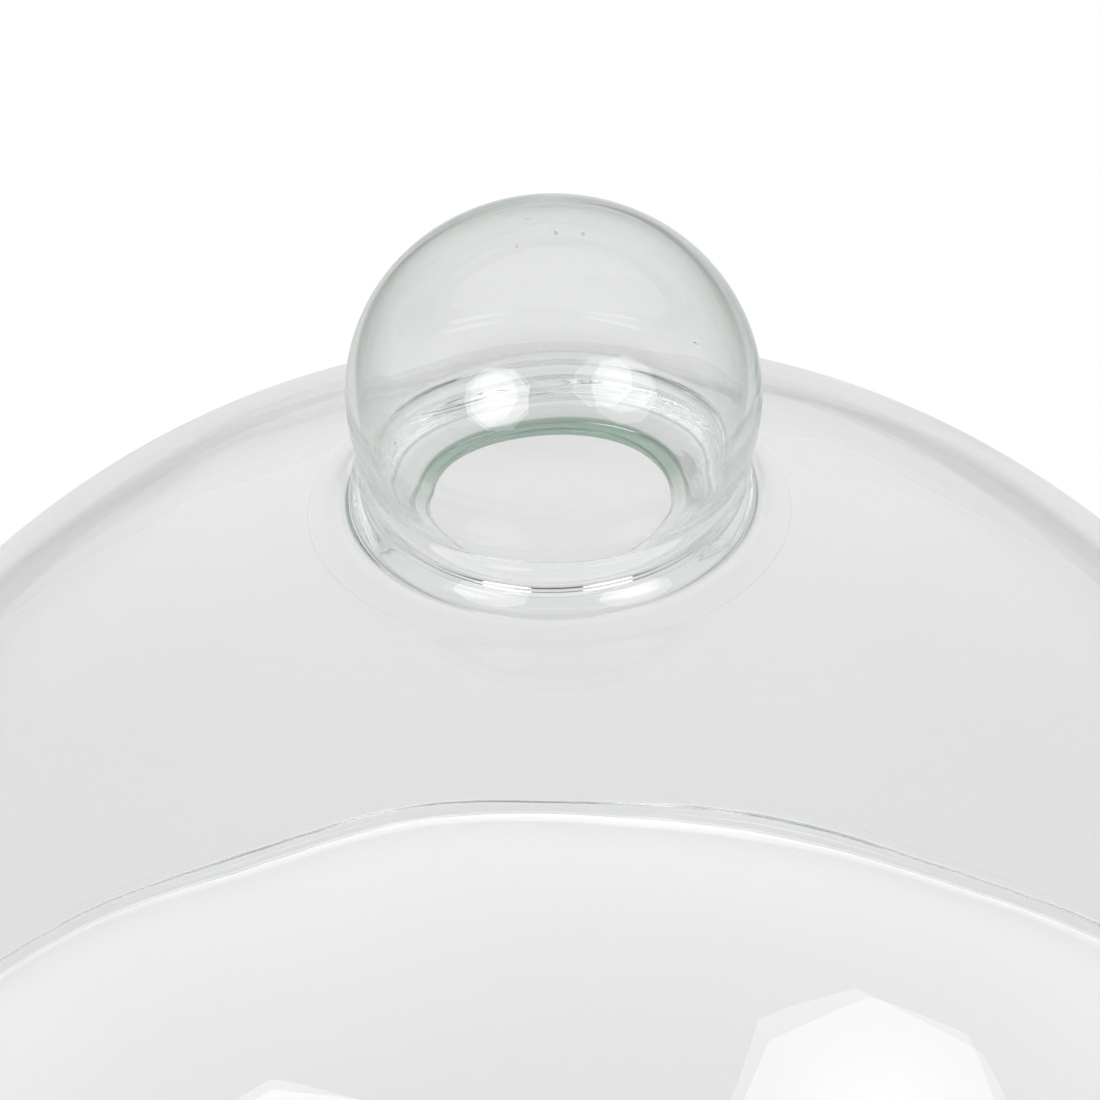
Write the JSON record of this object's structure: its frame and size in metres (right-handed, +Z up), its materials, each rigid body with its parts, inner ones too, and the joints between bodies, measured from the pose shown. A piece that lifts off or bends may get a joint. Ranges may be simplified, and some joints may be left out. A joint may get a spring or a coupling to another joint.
{
  "type": "glass bell jar dome",
  "caption": "Clear blown-glass bell jar dome: straight skirt, rounded crown, thick flared neck collar with an open throat, hollow ball knob to lift it by, and a fire-polished resting rim.",
  "frame": {"origin": "on the dome's axis, in the plane of the rim's flat resting face", "axes": "+Z up along the dome's axis, from the rim to the ball knob; X and Y are free, the dome is a body of revolution"},
  "size_m": [0.2866, 0.2866, 0.2137],
  "materials": {
    "rim_glass": "clear blown glass, fire-polished bead, faint green at the edge",
    "bell_glass": "clear blown glass, smooth with a slight waviness",
    "collar_glass": "clear blown glass, thick, green where it is seen edge on",
    "knob_glass": "clear blown glass, hollow, a few fine seeds"
  },
  "bodies": {
    "root": {"rim_bead": "rim_glass", "bell_shell": "bell_glass", "neck_collar": "collar_glass", "knob_ball": "knob_glass"}
  },
  "joints": []
}
